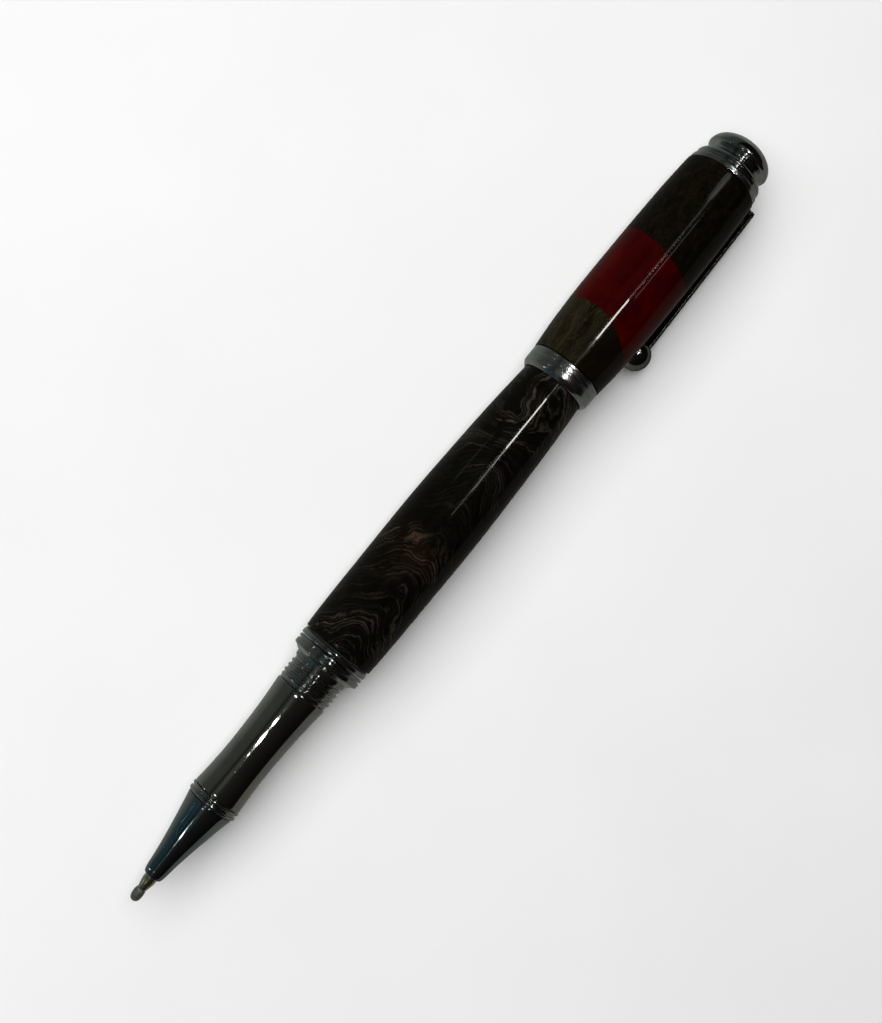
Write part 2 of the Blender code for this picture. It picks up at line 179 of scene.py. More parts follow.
def lathe(name, line, look, body, slot, *nodes, bend=None, closed=True):
    """A turned piece from a line of (station, radius) points, closed unless it ends on the axis.
    bend(station, radius, turn) gives a point its radius."""
    rings = []
    for station, radius in line:
        if radius < 1e-6:
            rings.append([Vector((station, 0, 0))])
            continue
        ring = []
        for k in range(SEGMENTS):
            turn = 2 * math.pi * k / SEGMENTS
            r = bend(station, radius, turn) if bend else radius
            ring.append(Vector((station, 0, 0)) + around(turn) * r)
        rings.append(ring)
    return place(name, grid_mesh(name, rings, closed), look, body, slot, *nodes)


def thread(front, back, pitch, depth, fade=0.5):
    """bend function of a screw thread: a ridge that climbs one pitch in each turn and fades at its ends."""
    def bend(station, radius, turn):
        if not front < station < back:
            return radius
        wave = math.cos(2 * math.pi * (station / pitch - turn / (2 * math.pi)))
        ends = min(1, (station - front) / fade, (back - station) / fade)
        return radius + depth * ends * (max(-0.75, min(0.75, wave * 1.3)) / 1.5 + 0.5)
    return bend


def fine(line, front, back, step=0.07):
    """The same line with points close together between two stations, on its straight outer side."""
    result = []
    for a, b in zip(line, line[1:]):
        result.append(a)
        low, high = sorted((a[0], b[0]))
        if low >= front - 1e-6 and high <= back + 1e-6 and abs(a[1] - b[1]) < 0.1:
            count = max(1, round(abs(b[0] - a[0]) / step))
            result += [tuple(Vector(a).lerp(Vector(b), k / count)) for k in range(1, count)]
    result.append(line[-1])
    return result


def bar_mesh(name, stations, half_wide, half_thick, centre, along, side, out, power=4.0, count=40):
    """A bar with rounded edges and closed ends. Its half sizes are functions of the position t along it."""
    rings = []
    for t in stations:
        ring = []
        for k in range(count):
            turn = 2 * math.pi * k / count
            c, s = math.cos(turn), math.sin(turn)
            x = math.copysign(abs(c) ** (2 / power), c) * half_wide(t)
            y = math.copysign(abs(s) ** (2 / power), s) * half_thick(t)
            ring.append(centre + along * t + side * x + out * y)
        rings.append(ring)
    return grid_mesh(name, rings, caps=(0, -1))


# Materials

class Look:
    """A material being built: short names for the shader nodes that it needs."""

    def __init__(self, name):
        self.material = bpy.data.materials.new(name)
        self.material.use_nodes = True
        self.tree = self.material.node_tree
        self.shader = self.tree.nodes["Principled BSDF"]
        self.points = self.scaled(self.tree.nodes.new("ShaderNodeTexCoord").outputs["Object"], (1000,) * 3)

    def set(self, **values):
        """Links or sets the shader's inputs, named with _ for a space."""
        for key, value in values.items():
            socket = self.shader.inputs[key.replace("_", " ")]
            if isinstance(value, bpy.types.NodeSocket):
                self.tree.links.new(value, socket)
            else:
                socket.default_value = (*value, 1.0) if isinstance(value, tuple) else value

    def put(self, socket, value):
        """Links a socket to a node's output, or sets it to a number, a vector or a colour."""
        if isinstance(value, bpy.types.NodeSocket):
            self.tree.links.new(value, socket)
        elif isinstance(value, (tuple, list, Vector)):
            socket.default_value = (*value, 1.0) if len(socket.default_value) == 4 else tuple(value)
        elif value is not None:
            socket.default_value = value

    def math(self, operation, a, b=None, c=None, clamp=False):
        node = self.tree.nodes.new("ShaderNodeMath")
        node.operation = operation
        node.use_clamp = clamp
        for socket, value in zip(node.inputs, (a, b, c)):
            self.put(socket, value)
        return node.outputs[0]

    def vector_math(self, operation, output, vector, other):
        node = self.tree.nodes.new("ShaderNodeVectorMath")
        node.operation = operation
        self.put(node.inputs[0], vector)
        self.put(node.inputs[1], other)
        return node.outputs[output]

    def scaled(self, vector, factors):
        return self.vector_math("MULTIPLY", "Vector", vector, factors)

    def dot(self, vector, direction):
        return self.vector_math("DOT_PRODUCT", "Value", vector, direction)

    def far(self, vector, point):
        return self.vector_math("DISTANCE", "Value", vector, point)

    def joined(self, x, y, z):
        node = self.tree.nodes.new("ShaderNodeCombineXYZ")
        for socket, value in zip(node.inputs, (x, y, z)):
            self.put(socket, value)
        return node.outputs[0]

    def noise(self, vector, scale, detail=2.0, rough=0.5, warp=0.0):
        node = self.tree.nodes.new("ShaderNodeTexNoise")
        self.put(node.inputs["Vector"], vector)
        node.inputs["Scale"].default_value = scale
        node.inputs["Detail"].default_value = detail
        node.inputs["Roughness"].default_value = rough
        node.inputs["Distortion"].default_value = warp
        return node.outputs["Fac"]

    def steps(self, value, *stops):
        """value to a colour or a grey, by (position, colour or grey) stops."""
        node = self.tree.nodes.new("ShaderNodeValToRGB")
        self.put(node.inputs[0], value)
        ramp = node.color_ramp
        while len(ramp.elements) < len(stops):
            ramp.elements.new(0.5)
        for element, (position, colour) in zip(ramp.elements, stops):
            element.position = position
            element.color = (*colour, 1.0) if isinstance(colour, tuple) else (colour, colour, colour, 1.0)
        return node.outputs["Color"]

    def mix(self, share, a, b):
        node = self.tree.nodes.new("ShaderNodeMix")
        node.data_type = "RGBA"
        self.put(node.inputs["Factor"], share)
        self.put(node.inputs[6], a)
        self.put(node.inputs[7], b)
        return node.outputs[2]

    def bump(self, height, strength, distance=0.02):
        node = self.tree.nodes.new("ShaderNodeBump")
        node.inputs["Strength"].default_value = strength
        node.inputs["Distance"].default_value = distance * MM
        self.put(node.inputs["Height"], height)
        return node.outputs["Normal"]

    def line(self, value, middle, width):
        """1 on the contour where value passes middle, falling to 0 at a distance of width."""
        off = self.math("ABSOLUTE", self.math("SUBTRACT", value, middle))
        return self.math("SUBTRACT", 1.0, self.math("DIVIDE", off, width), clamp=True)

    def blob(self, centre, radius):
        """1 at a point, falling away smoothly over a radius."""
        far = self.math("DIVIDE", self.far(self.points, centre), radius)
        return self.math("EXPONENT", self.math("MULTIPLY", self.math("POWER", far, 2.0), -1.0))


def on_surface(station, right, radius):
    """A point in millimetres on the viewer's side, at a distance to the right of the middle."""
    return Vector((station, 0, 0)) + around(math.asin(right / radius)) * radius


def polished_metal(name, colour, tint, rough=0.05, turned=0.07, smears=0.35, rim=1.0):
    """Mirror plating with turning lines, faint hairlines, smears and patches of tint. turned and smears are
    how strong those are, and rim is how bright the metal turns at a grazing angle."""
    look = Look(name)
    patches = look.noise(look.points, 0.22, 2.0)
    tone = look.mix(look.steps(patches, (0.42, 0.0), (0.62, 1.0)), colour, tint)
    dirt = look.steps(look.noise(look.points, 1.3, 5.0, 0.65), (0.5, 0.0), (0.8, 1.0))
    tone = look.mix(look.math("MULTIPLY", dirt, 0.2), tone, (0.20, 0.18, 0.16))
    rings = look.noise(look.scaled(look.points, (14.0, 0.25, 0.25)), 1.0, 3.0, 0.6)
    hairs = look.noise(look.scaled(look.points, (1.2, 9.0, 9.0)), 1.0, 2.0, 0.7, 1.5)
    hairs = look.line(hairs, 0.5, 0.012)
    swirl = look.noise(look.points, 0.9, 4.0, 0.6)
    roughness = look.math("MULTIPLY_ADD", look.steps(swirl, (0.35, 0.0), (0.75, 1.0)), 0.09 * smears, rough)
    roughness = look.math("MULTIPLY_ADD", hairs, 0.1, roughness)
    height = look.math("MULTIPLY_ADD", hairs, -0.5, rings)
    look.set(Base_Color=tone, Metallic=1.0, Roughness=roughness, Specular_Tint=(rim, rim, rim))
    look.set(Normal=look.bump(height, turned, 0.006))
    return look.material


def under_gloss(look, colour, grain, rough=0.6, coat=0.45, gloss=0.03):
    """Wood or resin finish: a clear glossy coat with a slight ripple and fine scratches over the colour."""
    ripple = look.noise(look.scaled(look.points, (0.5, 1.0, 1.0)), 0.55, 2.0)
    pits = look.steps(look.noise(look.points, 5.5, 2.0, 0.6), (0.68, 0.0), (0.78, 1.0))
    scratch = look.noise(look.scaled(look.points, (6.0, 0.8, 0.8)), 1.0, 2.0, 0.6, 2.0)
    scratch = look.line(scratch, 0.52, 0.006)
    surface = look.math("MULTIPLY_ADD", pits, -0.2, ripple)
    surface = look.math("MULTIPLY_ADD", scratch, -0.12, surface)
    look.set(Base_Color=colour, Roughness=rough, Specular_IOR_Level=0.0, Normal=look.bump(grain, 0.25, 0.03))
    look.set(Coat_Weight=coat, Coat_Roughness=gloss, Coat_IOR=1.5, Coat_Normal=look.bump(surface, 0.35, 0.03))
    return look.material


def dark_burr():
    """Near-black wood. Its pale lines follow layers folded to a point towards the cap, round knots."""
    look = Look("dark_burr_wood")
    fold = math.radians(12)  # turn of the line that the layers are folded on
    coarse, fine_spacing = 1.05, 0.41
    across = look.dot(look.points, around(fold + math.pi / 2))
    deep = look.dot(look.points, around(fold))
    bend = look.math("SQRT", look.math("MULTIPLY_ADD", across, across, 0.9))
    layer = look.math("MULTIPLY_ADD", bend, 1.15, look.dot(look.points, (1, 0, 0)))
    layer = look.math("MULTIPLY_ADD", deep, -0.35, layer)
    knot = look.blob(on_surface(72.3, 0.9, 6.9), 2.0)
    eye = look.blob(on_surface(100.0, -1.6, 6.4), 6.0)
    eye_two = look.blob(on_surface(106.0, 2.6, 6.0), 4.0)
    layer = look.math("MULTIPLY_ADD", knot, 3.0, layer)
    layer = look.math("MULTIPLY_ADD", eye, 12.0, layer)
    layer = look.math("MULTIPLY_ADD", eye_two, -2.5, layer)
    layer = look.math("MULTIPLY_ADD", look.noise(look.points, 0.14, 2.0, 0.5), 7.0, layer)
    layer = look.math("MULTIPLY_ADD", look.noise(look.points, 0.6, 3.0, 0.55), 1.9, layer)
    within = look.joined(layer, look.math("MULTIPLY", across, 0.12), look.math("MULTIPLY", deep, 0.12))
    drift = look.math("MULTIPLY_ADD", look.noise(within, 0.55, 2.0, 0.5), 2.6, layer)
    crest = look.math("SINE", look.math("MULTIPLY", drift, 2 * math.pi / coarse))
    hair = look.math("SINE", look.math("MULTIPLY", drift, 2 * math.pi / fine_spacing))
    thin = look.steps(crest, (0.3, 0.0), (0.9, 1.0))
    hairs = look.math("MULTIPLY", look.steps(hair, (0.4, 0.0), (0.95, 1.0)), 0.5)
    groups = look.steps(look.noise(within, 0.42, 2.0, 0.6), (0.4, 0.05), (0.54, 1.0))
    patchy = look.steps(look.noise(look.points, 0.33, 3.0, 0.6), (0.39, 0.1), (0.54, 1.0))
    strength = look.steps(
        look.dot(look.points, (0.01, 0, 0)),
        (0.53, 1.0), (0.60, 0.9), (0.645, 0.3), (0.69, 0.6), (0.745, 1.0),
        (0.77, 0.15), (0.86, 0.3), (0.97, 0.9), (1.1, 1.0),
    )
    lines = look.math("MULTIPLY", look.math("MAXIMUM", thin, hairs), look.math("MULTIPLY", groups, patchy))
    lines = look.math("MULTIPLY", lines, strength)
    ground = look.steps(
        look.noise(look.points, 0.27, 4.0, 0.6),
        (0.3, (0.0008, 0.0007, 0.0006)), (0.45, (0.0019, 0.0014, 0.0009)), (0.56, (0.0013, 0.0016, 0.001)),
        (0.68, (0.0030, 0.0019, 0.0017)), (0.8, (0.0055, 0.0036, 0.0018)),
    )
    tan = look.steps(
        look.noise(within, 0.5, 2.0),
        (0.3, (0.010, 0.0082, 0.0055)), (0.5, (0.022, 0.0175, 0.012)), (0.7, (0.042, 0.036, 0.027)),
    )
    warm = look.math("MULTIPLY", look.blob(on_surface(72.0, -1.0, 6.9), 5.0), 0.8)
    tan = look.mix(warm, tan, (0.042, 0.024, 0.013))
    colour = look.mix(lines, ground, tan)
    colour = look.mix(look.math("MULTIPLY", knot, 0.15), colour, (0.026, 0.0125, 0.006))
    return under_gloss(look, colour, lines)


def streaked_burr():
    """Olive-brown wood whose fine streaks fan out from the cap's lip, darker to the lower right."""
    look = Look("streaked_burr_wood")
    right = look.dot(look.points, TO_RIGHT)
    station = look.dot(look.points, (1, 0, 0))
    centre = on_surface(108.0, -1.0, 7.0)
    spread = look.math("SUBTRACT", station, centre.x - 4.0)
    fan = look.math("DIVIDE", look.math("ADD", right, 2.5), spread)
    wander = look.noise(look.points, 0.3, 3.0, 0.6)
    fan = look.math("MULTIPLY_ADD", wander, 0.16, fan)
    along = look.joined(
        look.math("MULTIPLY", fan, 26.0),
        look.math("MULTIPLY", station, 0.22),
        look.dot(look.points, TO_VIEW),
    )
    streaks = look.noise(along, 0.55, 5.0, 0.6, 0.5)
    lines = look.math("MAXIMUM", look.line(streaks, 0.5, 0.02), look.line(streaks, 0.6, 0.018))
    lines = look.math("MULTIPLY", lines, look.steps(wander, (0.4, 0.25), (0.65, 1.0)))
    ground = look.steps(
        look.noise(along, 0.3, 4.0, 0.6, 0.5),
        (0.32, (0.0028, 0.0021, 0.0011)), (0.5, (0.0082, 0.0062, 0.0026)), (0.68, (0.0155, 0.0122, 0.0052)),
    )
    colour = look.mix(look.math("MULTIPLY", lines, 0.8), ground, (0.030, 0.024, 0.013))
    side = look.steps(look.math("MULTIPLY_ADD", right, 0.1, 0.5), (0.42, 0.0), (0.62, 0.78))
    return under_gloss(look, look.mix(side, colour, (0.0022, 0.0012, 0.0008)), lines)


def black_wood():
    """Near-black brown wood with faint flecks and pale cross marks."""
    look = Look("black_wood")
    grain = look.noise(look.scaled(look.points, (0.45, 1.0, 1.0)), 0.8, 5.0, 0.65, 0.7)
    flecks = look.steps(look.noise(look.points, 3.2, 3.0, 0.6), (0.66, 0.0), (0.74, 1.0))
    curl = look.line(look.noise(look.scaled(look.points, (1.5, 0.7, 0.7)), 0.5, 3.0, 0.6, 0.8), 0.55, 0.012)
    ground = look.steps(
        grain,
        (0.34, (0.0013, 0.001, 0.0006)), (0.5, (0.0027, 0.002, 0.0009)), (0.66, (0.0052, 0.0037, 0.0016)),
    )
    marks = look.math("MAXIMUM", look.math("MULTIPLY", flecks, 0.25), look.math("MULTIPLY", curl, 0.3))
    return under_gloss(look, look.mix(marks, ground, (0.018, 0.013, 0.008)), grain, coat=0.36, gloss=0.085)


def red_resin():
    """Deep red resin with soft clouds of orange and magenta."""
    look = Look("red_resin")
    clouds = look.noise(look.points, 0.24, 3.0, 0.55, 0.4)
    colour = look.steps(
        clouds,
        (0.3, (0.014, 0.0001, 0.0007)), (0.45, (0.022, 0.0001, 0.0001)),
        (0.6, (0.030, 0.0002, 0.0001)), (0.75, (0.036, 0.0010, 0.0001)),
    )
    motes = look.steps(look.noise(look.points, 2.4, 4.0, 0.6), (0.58, 0.0), (0.78, 1.0))
    colour = look.mix(look.math("MULTIPLY", motes, 0.3), colour, (0.010, 0.0, 0.0))
    return under_gloss(look, colour, clouds)


def plastic(name, colour, rough, deeper=0.6):
    """Moulded plastic, faintly mottled with deeper times its colour."""
    look = Look(name)
    mottle = look.noise(look.points, 1.1, 4.0, 0.6)
    fine_grain = look.noise(look.points, 9.0, 3.0, 0.6)
    dark = tuple(value * deeper for value in colour)
    tone = look.mix(look.steps(mottle, (0.35, 0.0), (0.7, 1.0)), dark, colour)
    look.set(Base_Color=tone, Roughness=look.math("MULTIPLY_ADD", mottle, 0.15, rough - 0.07))
    look.set(Normal=look.bump(fine_grain, 0.3, 0.01))
    return look.material


def soft_wax():
    look = Look("sealing_wax")
    mottle = look.noise(look.points, 1.6, 4.0, 0.6)
    tone = look.steps(
        mottle,
        (0.35, (0.03, 0.032, 0.025)), (0.55, (0.07, 0.073, 0.057)), (0.75, (0.15, 0.155, 0.125)),
    )
    look.set(Base_Color=tone, Roughness=0.32, Subsurface_Weight=0.2, Subsurface_Scale=0.4 * MM)
    look.set(Normal=look.bump(look.noise(look.points, 3.0, 3.0), 0.5, 0.05))
    return look.material


def floor_look():
    look = Look("pale_floor")
    speckle = look.noise(look.points, 0.02, 3.0)
    speckle = look.steps(speckle, (0.3, (0.86, 0.86, 0.86)), (0.7, (0.89, 0.89, 0.89)))
    look.set(Base_Color=speckle, Roughness=0.75, Specular_IOR_Level=0.0)
    return look.material


GUNMETAL = polished_metal("gunmetal_plating", (0.52, 0.53, 0.52), (0.42, 0.47, 0.49))
GRIP_METAL = polished_metal("grip_plating", (0.50, 0.51, 0.48), (0.44, 0.47, 0.44), 0.02, 0.015, 0.08)
BLUED = polished_metal("blued_gunmetal", (0.38, 0.43, 0.45), (0.28, 0.38, 0.42), 0.025, 0.02, 0.15)
TURNED = polished_metal("turned_gunmetal", (0.56, 0.57, 0.56), (0.44, 0.49, 0.50), 0.14, 0.5, 0.6)
# The clip's plating is painted darker than the other metal, with a weaker rim, as painted shade: it stands
# for the shadowed floor that the clip would mirror.
CLIP_METAL_PAINTED_SHADE = polished_metal("clip_plating_painted_shade", (0.30, 0.30, 0.29), (0.22, 0.24, 0.25), 0.04, 0.03, 0.4, 0.35)
# Painted shade: near-black metal for the clip arm's face towards the cap, where the pen's shadow would show
# in its reflection.
INNER_FACE_PAINTED_SHADE = polished_metal("clip_inner_face_painted_shade", (0.07, 0.07, 0.068), (0.05, 0.05, 0.05), 0.25, 0.1, 0.8, 0.2)
PALE_METAL = polished_metal("refill_tip_metal", (0.90, 0.86, 0.68), (0.82, 0.76, 0.54), 0.2)
BALL_METAL = polished_metal("ball_metal", (0.35, 0.35, 0.36), (0.3, 0.3, 0.31), 0.1)
BRASS = polished_metal("tube_brass", (0.66, 0.48, 0.22), (0.50, 0.33, 0.15), 0.2)
STEEL = polished_metal("spring_steel", (0.60, 0.60, 0.60), (0.45, 0.43, 0.40), 0.16)
BLACK = plastic("black_plastic", (0.02, 0.02, 0.021), 0.4)
WHITE = plastic("white_plastic", (0.74, 0.74, 0.71), 0.35, 0.9)
REFILL = plastic("refill_plastic", (0.50, 0.52, 0.55), 0.3, 0.85)
INK = plastic("ink_core", (0.012, 0.012, 0.035), 0.8)
WAX = soft_wax()
DARK_BURR = dark_burr()
STREAKED_BURR = streaked_burr()
BLACK_WOOD = black_wood()
RED = red_resin()


# Section

def nose_and_grip():
    nose = smooth_line([(5.25, 1.68), (6.0, 1.85), (8.8, 2.2), (12.65, 2.86), (16.5, 3.62), (19.4, 4.25)])
    outer = eased([(4.95, 1.3), (4.95, 1.55), (5.25, 1.68)], 0.1)[:-1] + nose
    outer += eased([(19.4, 4.25), (19.65, 4.24), (19.65, 3.1), (23.5, 3.1), (23.5, 2.45)], 0.08)[1:]
    inner = [(14.2, 2.45), (14.1, 1.25), (5.0, 1.25)]
    lathe("nose_cone_fine", outer + inner, BLUED, "section", "gunmetal", "nose_cone")
    trim = [(19.8, 3.2), (19.8, 4.35), (19.88, 4.5), (20.12, 4.58), (20.32, 4.5), (20.44, 4.22), (20.7, 4.22)]
    trim += [(20.82, 4.52), (21.0, 4.62), (21.17, 4.58), (21.25, 4.45), (21.25, 3.2)]
    lathe("nose_trim_fine", eased(trim, 0.1), GUNMETAL, "section", "gunmetal", "nose_trim_ring")
    grip = smooth_line(
        [(21.6, 4.45), (23.2, 4.33), (25.0, 4.22), (28.0, 4.12), (31.0, 4.12), (35.0, 4.24), (39.0, 4.465),
         (42.4, 4.775)]
    )
    outer = eased([(21.4, 3.2), (21.4, 4.4), (21.6, 4.45)], 0.1)[:-1] + grip
    outer += eased([(42.4, 4.775), (42.75, 4.77), (42.9, 4.6), (42.9, 3.85)], 0.1)[1:]
    lathe("grip_fine", outer + [(39.6, 3.85), (39.6, 3.2)], GRIP_METAL, "section", "gunmetal", "grip_shell")
    sleeve = [(39.75, 3.2), (39.75, 3.7), (51.0, 3.7), (51.3, 3.5), (51.4, 3.2)]
    lathe(
        "sleeve_fine", fine(sleeve, 42.0, 51.0, 0.1), BRASS, "section", "brass", "section_thread_sleeve",
        bend=thread(43.0, 51.0, 0.8, 0.05),
    )


def refill_front():
    cone = smooth_line([(1.32, 0.47), (2.0, 0.66), (3.0, 0.93), (3.9, 1.13)], 0.15)
    outer = [(1.2, 0.38), (1.2, 0.42)] + cone + [(4.05, 1.15), (17.0, 1.15), (17.0, 0.22)]
    line = outer + [(1.9, 0.22), (1.75, 0.38)]
    lathe("refill_tip_fine", line, PALE_METAL, "section", "tip_metal", "refill_tip")
    middle, ball_r = 1.25, 0.35
    turns = [math.radians(degrees) for degrees in range(10, 180, 10)]
    ball = [(middle - ball_r * math.cos(a), ball_r * math.sin(a)) for a in turns]
    ball = [(middle - ball_r, 0.0)] + ball + [(middle + ball_r, 0.0)]
    lathe("writing_ball_fine", ball, BALL_METAL, "section", "ball_metal", "writing_ball", closed=False)
    wax = smooth_line(
        [(0.0, 0.0), (0.05, 0.3), (0.3, 0.66), (0.75, 0.88), (1.25, 0.95), (1.8, 0.94), (2.25, 0.86)], 0.1,
    )
    wax += [(2.3, 0.8), (1.0, 0.55), (0.78, 0.35), (0.72, 0.0)]

    def lumps(station, radius, turn):
        lump = math.sin(3 * turn + 2 * station) + 0.6 * math.sin(5 * turn - 3 * station)
        return radius - 0.012 * (1.6 + lump) if radius > 0.6 else radius

    lathe("wax_bead_fine", wax, WAX, "bead", "sealing_wax", "tip_wax_bead", bend=lumps, closed=False)


# Barrel

def coupler():
    outer = [(42.95, 3.95), (42.95, 4.5), (43.05, 4.6), (47.2, 4.6)]
    rest = [(47.3, 4.92), (47.5, 4.98), (48.15, 5.05), (48.25, 5.35), (48.7, 5.95), (48.82, 6.32)]
    rest += [(49.0, 6.4), (49.65, 6.42), (49.78, 6.32), (49.8, 6.12), (50.02, 6.12), (50.06, 6.36)]
    rest += [(50.3, 6.44), (50.52, 6.36), (50.6, 6.12), (50.6, 4.4), (60.0, 4.4), (60.0, 3.95)]
    line = fine(outer, 43.0, 47.25) + eased(rest, 0.06, 3)
    lathe(
        "coupler_fine", line, GUNMETAL, "barrel", "gunmetal", "front_coupler",
        bend=thread(43.2, 47.25, 0.95, 0.25),
    )
    band = [(50.75, 4.5), (50.75, 6.35), (50.9, 6.48), (51.2, 6.5), (51.52, 6.48), (51.65, 6.38)]
    band.append((51.65, 4.5))
    lathe("band_fine", eased(band, 0.08), GUNMETAL, "barrel", "gunmetal", "coupler_band")
    spacer = [(51.75, 4.5), (51.75, 6.3), (51.8, 6.35), (51.92, 6.35), (51.95, 6.3), (51.95, 4.5)]
    lathe("spacer_fine", spacer, BLACK, "barrel", "black_plastic", "coupler_spacer")


def barrel():
    table = [(52.35, 6.57), (55.0, 6.7), (60.0, 6.8), (65.0, 6.85), (76.0, 6.95), (83.0, 6.9), (88.0, 6.76)]
    table += [(95.0, 6.54), (100.5, 6.3), (104.5, 6.06), (108.3, 5.8), (111.4, 5.57)]
    outer = eased([(52.1, 4.95), (52.1, 6.5), (52.35, 6.57)], 0.12)[:-1] + smooth_line(table, 0.6)
    outer += eased([(111.4, 5.57), (111.6, 5.5), (111.6, 4.95)], 0.1)[1:]
    lathe("barrel_fine", outer, DARK_BURR, "barrel", "dark_burr_wood", "barrel_blank")


def tail():
    socket = [(119.7, 0.0), (119.7, 3.3), (104.0, 3.3)]
    collar = [(104.0, 4.35), (111.7, 4.35), (111.7, 5.28), (111.8, 5.38), (112.2, 5.4), (112.3, 5.3)]
    stub = fine([(112.3, 4.42), (117.9, 4.42)], 112.3, 117.9) + [(118.1, 4.3), (118.4, 4.22)]
    nose = smooth_line(
        [(118.6, 4.2), (121.5, 4.12), (122.8, 3.9), (123.6, 3.4), (123.95, 2.7), (124.0, 1.6)], 0.3,
    )
    line = socket + collar + stub + nose + [(124.0, 0.0)]
    lathe(
        "tail_fine", line, GUNMETAL, "barrel", "gunmetal", "tail_plug", closed=False,
        bend=thread(112.5, 118.0, 0.95, 0.2),
    )


# Cap

CAP_TABLE = smooth_line(
    [(112.85, 6.75), (115.5, 7.0), (118.1, 7.2), (122.65, 7.4), (126.5, 7.48), (131.0, 7.497), (138.15, 7.47),
     (143.5, 7.41), (148.6, 7.3), (153.9, 7.05), (155.1, 6.95)], 0.5,
)


def border(station, lean, dip, ragged):
    """Function that gives the station of an oblique, slightly ragged glue line at a turn. lean is how far the
    line comes towards the tip on the viewer's right, and dip how far it does on both sides."""
    phases = [random.uniform(0, 2 * math.pi) for _ in range(5)]

    def at(turn):
        waves = sum(math.sin((3 + 4 * i) * turn + phase) / (1 + i) for i, phase in enumerate(phases))
        return station - lean * math.sin(turn) - dip * (1 - math.cos(2 * turn)) + ragged * waves
    return at


def square_end(station):
    return lambda turn: station


def cap_blank(name, front, back, look, slot, node):
    """One turned blank of the cap, between two ends that are functions of the turn."""
    count, edge, gap, bore = 36, 0.004, 0.01, 6.25
    turns = [2 * math.pi * k / SEGMENTS for k in range(SEGMENTS)]
    rings = []
    for share in [0.0, edge] + [k / count for k in range(1, count)] + [1 - edge, 1.0]:
        ring = []
        for turn in turns:
            station = front(turn) + gap + (back(turn) - front(turn) - 2 * gap) * share
            ring.append(Vector((station, 0, 0)) + around(turn) * between(CAP_TABLE, station))
        rings.append(ring)
    for side in (back, front):
        rings.append([Vector((side(turn), 0, 0)) + around(turn) * bore for turn in turns])
    mesh = grid_mesh(name, rings, closed_rows=True)
    return place(name, mesh, look, "cap", slot, node)


def cap():
    first = border(122.35, 1.9, 0.8, 0.09)
    second = border(137.1, 1.2, 0.0, 0.05)
    front, back = square_end(CAP_TABLE[0][0]), square_end(CAP_TABLE[-1][0])
    cap_blank("cap_lower_fine", front, first, STREAKED_BURR, "streaked_burr_wood", "cap_blank_lower")
    cap_blank("cap_red_fine", first, second, RED, "red_resin", "cap_blank_red")
    cap_blank("cap_upper_fine", second, back, BLACK_WOOD, "black_wood", "cap_blank_upper")
    rim = 6.65
    lip = [(109.0, 5.9), (109.0, 6.0), (109.12, 6.12), (109.6, 6.52), (109.8, 6.62), (110.3, rim)]
    for groove, deep in ((110.75, 0.14), (111.15, 0.08), (112.0, 0.14)):
        lip += [(groove, rim), (groove + 0.06, rim - deep), (groove + 0.16, rim - deep), (groove + 0.22, rim)]
    lip += [(112.6, rim), (112.7, 6.56), (112.7, 5.65), (118.6, 5.65), (118.6, 5.2), (112.45, 5.2)]
    lip.append((112.45, 5.9))
    lathe("lip_fine", eased(lip, 0.05, 3), TURNED, "cap", "gunmetal", "cap_lip_ring")
    insert = [(112.6, 4.9), (112.6, 5.1), (118.4, 5.1), (118.4, 4.9)]
    lathe("insert_fine", insert, BLACK, "cap", "black_plastic", "cap_thread_insert")
    top = [(149.5, 1.85), (149.5, 5.65), (155.2, 5.65), (155.2, 6.68), (155.34, 6.79), (155.7, 6.8)]
    top += [(156.1, 6.79), (156.25, 6.7), (156.3, 6.55), (156.3, 1.85)]
    lathe("top_ring_fine", eased(top, 0.06), TURNED, "cap", "gunmetal", "cap_top_ring")


def finial():
    neck = smooth_line(
        [(157.2, 6.48), (157.45, 6.46), (157.9, 6.15), (158.3, 5.6), (158.6, 5.12), (158.87, 4.9),
         (159.15, 5.0), (159.5, 5.42), (159.8, 5.85), (160.1, 5.99), (160.45, 5.98), (161.2, 5.72),
         (161.9, 5.2), (162.6, 4.25), (163.05, 3.3), (163.32, 2.3)], 0.12,
    )
    outer = [(157.1, 1.85), (157.1, 6.38)] + neck + [(163.4, 1.7), (163.4, 0.0)]
    line = [(160.6, 0.0), (160.6, 1.85)] + outer
    lathe("finial_fine", line, GUNMETAL, "cap", "gunmetal", "finial", closed=False)


def clip_leg(middle):
    """The leg that comes out from the clip's washer."""
    low, high = 5.4, 9.2
    levels = [low + (high - low) * k / 14 for k in range(15)]
    leg = bar_mesh("clip_leg_fine", levels, lambda t: 1.6, lambda t: 0.3, middle, TO_CLIP, CLIP_SIDE, ALONG)
    place("clip_leg_fine", leg, CLIP_METAL_PAINTED_SHADE, "cap", "gunmetal")


def clip_arm():
    """The long arm, sloping outwards to its ball, with its face towards the cap painted near black as painted
    shade.
    """
    root, end, root_reach, tip_reach = 157.1, 125.4, 9.8, 10.75
    rise = (tip_reach - root_reach) / (root - end)
    stations = [end + (root - end) * k / 60 for k in range(61)]

    def half_wide(t):
        return 1.65 - 0.05 * (t - end) / (root - end)

    def half_thick(t):
        return 0.45 * min(1, math.sqrt(max(0.04, (root + 0.02 - t) / 0.35)))

    arm = bar_mesh(
        "clip_arm_fine", stations, half_wide, half_thick,
        TO_CLIP * (root_reach + rise * root), ALONG - TO_CLIP * rise, CLIP_SIDE, TO_CLIP,
    )
    arm.materials.append(CLIP_METAL_PAINTED_SHADE)
    arm.materials.append(INNER_FACE_PAINTED_SHADE)
    # Faces towards the cap get the painted-shade metal.
    for face in arm.polygons:
        face.material_index = 1 if face.normal.dot(TO_CLIP) < -0.6 else 0
    place("clip_arm_fine", arm, None, "clip", "gunmetal", "clip_arm")


